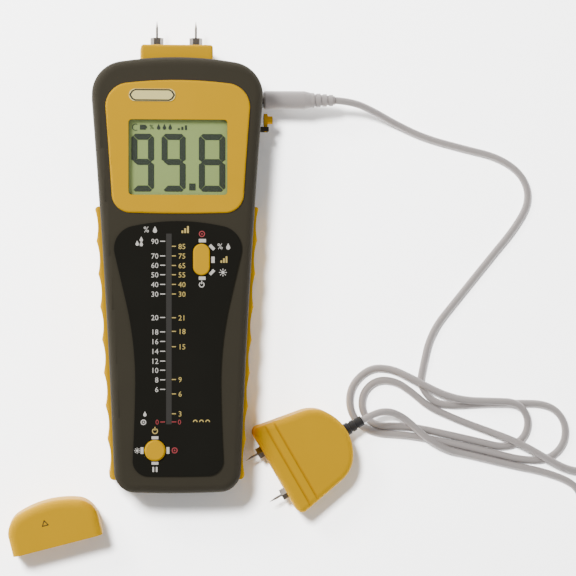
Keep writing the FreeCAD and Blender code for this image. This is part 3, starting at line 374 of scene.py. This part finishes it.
def letters(shape, text, x, y, tall, low, high, side="CENTER"):
    """Raised figures, centred on a height, in millimetres."""
    data = bpy.data.curves.new(text, "FONT")
    data.body = text
    data.align_x = side
    data.size = tall * 1.37
    data.resolution_u = 2
    data.extrude = (high - low) / 2
    holder = bpy.data.objects.new(text, data)
    bpy.context.collection.objects.link(holder)
    bpy.context.view_layer.update()
    mesh = bpy.data.meshes.new_from_object(
        holder.evaluated_get(bpy.context.evaluated_depsgraph_get()))
    mesh.transform(Matrix.Scale(MM, 4)
                   @ Matrix.Translation((x, y - tall * 0.5, (low + high) / 2)))
    shape.from_mesh(mesh)
    bpy.data.objects.remove(holder)
    bpy.data.curves.remove(data)
    bpy.data.meshes.remove(mesh)


# ---- display ----

LCD_TOP = 31.4
DISPLAY_LOW, DISPLAY_HIGH = LCD_TOP + 0.02, LCD_TOP + 0.12


def segment_outlines(x0, x1, y0, y1):
    """The seven segments of a digit, a to g, with mitred ends."""
    t, gap, cut, mid = 2.55, 0.13, 1.5, (y0 + y1) / 2 + 0.3
    top = [
        (x0 + cut / 2 + gap, y1 - cut / 2), (x0 + cut + gap, y1), (x1 - cut - gap, y1),
        (x1 - cut / 2 - gap, y1 - cut / 2), (x1 - t - gap, y1 - t), (x0 + t + gap, y1 - t),
    ]
    high_left = [
        (x0, y1 - cut - gap), (x0 + cut / 2, y1 - cut / 2 - gap), (x0 + t, y1 - t - gap),
        (x0 + t, mid + t / 2 + gap), (x0 + t / 2, mid + gap), (x0, mid + t / 2 - 0.3),
    ]
    middle = [
        (x0 + t / 2 - 0.3, mid), (x0 + t + gap, mid + t / 2), (x1 - t - gap, mid + t / 2),
        (x1 - t / 2 + 0.3 - gap, mid), (x1 - t - gap, mid - t / 2), (x0 + t + gap, mid - t / 2),
    ]
    sideways = lambda points: [(x0 + x1 - x, y) for x, y in points]
    over = lambda points: [(x, 2 * mid - y) for x, y in points]
    drop_by = y0 - (2 * mid - y1)
    lower = lambda points: [(x, y + (drop_by if y < mid - 4 else 0)) for x, y in over(points)]
    return {
        "a": top, "b": sideways(high_left), "c": lower(sideways(high_left)), "d": lower(top),
        "e": lower(high_left), "f": high_left, "g": middle,
    }


def add_display():
    """The three digits, the point and the small signs above them."""
    shape = bmesh.new()
    for x0, x1, lit in ((-19.4, -9.9, "abcdfg"), (-6.8, 3.3, "abcdfg"), (8.8, 19.9, "abcdefg")):
        outlines = segment_outlines(x0, x1, 35.0, 59.2)
        for name in lit:
            flat_shape(shape, outlines[name], DISPLAY_LOW, DISPLAY_HIGH)
    bar(shape, 6.1, 37.0, 2.7, 2.9, DISPLAY_LOW, DISPLAY_HIGH)
    ring(shape, (-17.6, 61.9), 1.5, 1.15, DISPLAY_LOW, DISPLAY_HIGH, 60, 300)
    bar(shape, -14.6, 61.9, 2.5, 2.1, DISPLAY_LOW, DISPLAY_HIGH)
    bar(shape, -13.1, 61.9, 0.5, 1.0, DISPLAY_LOW, DISPLAY_HIGH)
    letters(shape, "%", -10.9, 62.1, 2.0, DISPLAY_LOW, DISPLAY_HIGH)
    for x in (-8.0, -5.6, -3.2):
        drop(shape, x, 62.1, 2.5, DISPLAY_LOW, DISPLAY_HIGH)
    for count, x in enumerate((0.4, 1.9, 3.4)):
        bar(shape, x, 61.2 + 0.3 * count, 0.9, 0.8 + 0.6 * count, DISPLAY_LOW, DISPLAY_HIGH)
    add_piece("display_figures", shape, INKS["digit"], "meter", smooth=False)


# ---- print on the control panel ----

PRINT_LOW, PRINT_HIGH = 33.6, 33.64
LEFT_SCALE = {
    "90": 14.2, "70": 8.1, "60": 4.2, "50": 0.25, "40": -3.8, "30": -7.8, "20": -17.6,
    "18": -23.6, "16": -27.6, "14": -31.7, "12": -35.8, "10": -39.6, "8": -43.6, "6": -47.6,
}
RIGHT_SCALE = {
    "85": 12.1, "75": 8.1, "65": 4.1, "55": 0.25, "40": -3.8, "30": -7.8, "21": -17.7,
    "18": -23.4, "15": -29.8, "9": -43.5, "6": -49.5, "3": -57.8,
}


def power_sign(shape, x, y, size):
    ring(shape, (x, y), size / 2, size / 2 - 0.4, PRINT_LOW, PRINT_HIGH, -240, 60)
    bar(shape, x, y + size * 0.4, 0.4, size * 0.6, PRINT_LOW, PRINT_HIGH)


def target_sign(shape, x, y, size):
    for start in (0, 180):
        ring(shape, (x, y), size / 2, size / 2 - 0.4, PRINT_LOW, PRINT_HIGH, start, start + 180)
    bar(shape, x, y, 0.6, 0.6, PRINT_LOW, PRINT_HIGH, 45)


def stair_sign(shape, x, y, size):
    for step in range(3):
        bar(shape, x + (step - 1) * size * 0.4, y - size * (0.32 - 0.16 * step), size * 0.26,
            size * (0.36 + 0.32 * step), PRINT_LOW, PRINT_HIGH)


def sun_sign(shape, x, y, size):
    flat_shape(shape, arc_points((x, y), size * 0.22, 0, 330, 12), PRINT_LOW, PRINT_HIGH)
    for ray in range(8):
        angle = math.radians(45 * ray)
        bar(shape, x + size * 0.41 * math.cos(angle), y + size * 0.41 * math.sin(angle),
            size * 0.2, 0.3, PRINT_LOW, PRINT_HIGH, 45 * ray)


def add_panel_print():
    """The two scales beside the bar strip and the signs at the keys."""
    white, cream, red = bmesh.new(), bmesh.new(), bmesh.new()
    for text, y in LEFT_SCALE.items():
        letters(white, text, -8.1, y, 2.3, PRINT_LOW, PRINT_HIGH, "RIGHT")
        bar(white, -6.4, y, 2.1, 0.38, PRINT_LOW, PRINT_HIGH)
    for text, y in RIGHT_SCALE.items():
        letters(cream, text, 0.1, y, 2.3, PRINT_LOW, PRINT_HIGH, "LEFT")
        bar(cream, -1.7, y, 1.7, 0.38, PRINT_LOW, PRINT_HIGH)
    for x, side in ((-6.4, -8.1), (-1.7, 1.2)):
        bar(red, x, -61.2, 2.0, 0.38, PRINT_LOW, PRINT_HIGH)
        letters(red, "0", side - 0.6, -61.2, 2.2, PRINT_LOW, PRINT_HIGH)
    # heads of the scales and the drops that show wet and dry
    letters(white, "%", -13.2, 19.2, 2.5, PRINT_LOW, PRINT_HIGH)
    drop(white, -9.6, 19.1, 2.8, PRINT_LOW, PRINT_HIGH)
    stair_sign(cream, 3.0, 19.1, 2.9)
    for x, y in ((-17.0, 13.4), (-15.3, 15.1), (-15.3, 13.2)):
        drop(white, x, y, 2.2, PRINT_LOW, PRINT_HIGH)
    drop(white, -13.8, -57.8, 2.2, PRINT_LOW, PRINT_HIGH)
    target_sign(white, -14.4, -61.3, 2.3)
    for step in range(3):
        ring(cream, (7.2 + 2.6 * step, -61.3), 1.0, 0.6, PRINT_LOW, PRINT_HIGH, 0, 180, 8)
    # signs around the oval key
    target_sign(red, 10.0, 17.3, 2.6)
    letters(white, "%", 17.6, 12.2, 2.5, PRINT_LOW, PRINT_HIGH)
    drop(white, 21.0, 12.1, 2.7, PRINT_LOW, PRINT_HIGH)
    stair_sign(cream, 19.2, 6.6, 2.7)
    sun_sign(white, 18.8, 1.2, 3.2)
    power_sign(white, 9.9, -3.9, 2.4)
    for x, y, wide, tall, lean in (
        (10.2, 14.5, 3.0, 1.4, 0), (14.2, 11.7, 2.6, 1.3, -45), (14.6, 6.5, 1.4, 2.6, 0),
        (14.2, 1.3, 2.6, 1.3, 45), (10.1, -1.2, 2.8, 1.4, 0),
    ):
        bar(white, x, y, wide, tall, PRINT_LOW, PRINT_HIGH, lean)
    # signs around the round key
    for x, y, wide, tall in (
        (-9.6, -67.8, 2.8, 1.2), (-15.0, -73.1, 1.2, 2.8), (-4.2, -73.1, 1.2, 2.8),
        (-9.6, -78.4, 2.8, 1.2),
    ):
        bar(white, x, y, wide, tall, PRINT_LOW, PRINT_HIGH)
    power_sign(cream, -9.6, -65.0, 2.5)
    for x in (-10.3, -8.9):
        bar(white, x, -81.0, 0.7, 2.1, PRINT_LOW, PRINT_HIGH)
    target_sign(red, -1.4, -73.1, 2.5)
    sun_sign(white, -17.0, -73.1, 2.4)
    add_piece("panel_print_white", white, INKS["white"], "meter", smooth=False)
    add_piece("panel_print_cream", cream, INKS["cream"], "meter", smooth=False)
    add_piece("panel_print_red", red, INKS["red"], "meter", smooth=False)


BADGE_PLACE = (-10.8, 75.2)
PLATE_TOP = 34.25
FILM = 0.05


def add_badge():
    """A dark keyline with pointed ends around a blank pale badge."""
    line, face = bmesh.new(), bmesh.new()
    x, y = BADGE_PLACE
    top = PLATE_TOP

    def lozenge(half, tall):
        return [
            (x - half, y), (x - half + tall * 0.45, y + tall * 0.72), (x - half + tall, y + tall),
            (x + half - tall, y + tall), (x + half - tall * 0.45, y + tall * 0.72), (x + half, y),
            (x + half - tall * 0.45, y - tall * 0.72), (x + half - tall, y - tall),
            (x - half + tall, y - tall), (x - half + tall * 0.45, y - tall * 0.72),
        ]
    flat_shape(line, lozenge(9.6, 2.45), top, top + FILM)
    flat_shape(face, lozenge(8.8, 1.85), top + FILM, top + FILM * 2)
    add_piece("badge_keyline", line, INKS["black"], "meter", smooth=False)
    add_piece("badge_face", face, FINISHES["badge"], "meter", smooth=False)


CAP_TURN = 14
CAP_TOP = 22.0
SIGN_PLACE = (-55.5, -104.5)
SIGN_REACH = 0.72


def add_cap_sign():
    """A plain triangle outline on the flat top of the pin cap."""
    sign = bmesh.new()
    for side in (90, 210, 330):
        angle = side + CAP_TURN
        way = math.radians(angle + 180)
        bar(sign, SIGN_PLACE[0] + SIGN_REACH * math.cos(way),
            SIGN_PLACE[1] + SIGN_REACH * math.sin(way), 0.4, 2.7, CAP_TOP, CAP_TOP + FILM, angle)
    add_piece("cap_sign", sign, INKS["black"], "pin_cap", smooth=False)


add_camera()
make_lead()
finish_cad_nodes()
add_display()
add_panel_print()
add_badge()
add_cap_sign()
floor = add_stage()
add_light("floor_key", (-0.42, 0.46, 1.45), (0.05, 0, 0), 0.25, 120.0, only=floor)
add_light("key", (-0.62, 0.55, 0.80), (0.02, 0, 0), 0.35, 15.0, (1.0, 0.98, 0.95))
add_light("fill", (0.7, -0.4, 1.1), (0.05, 0, 0), 1.0, 2.0)
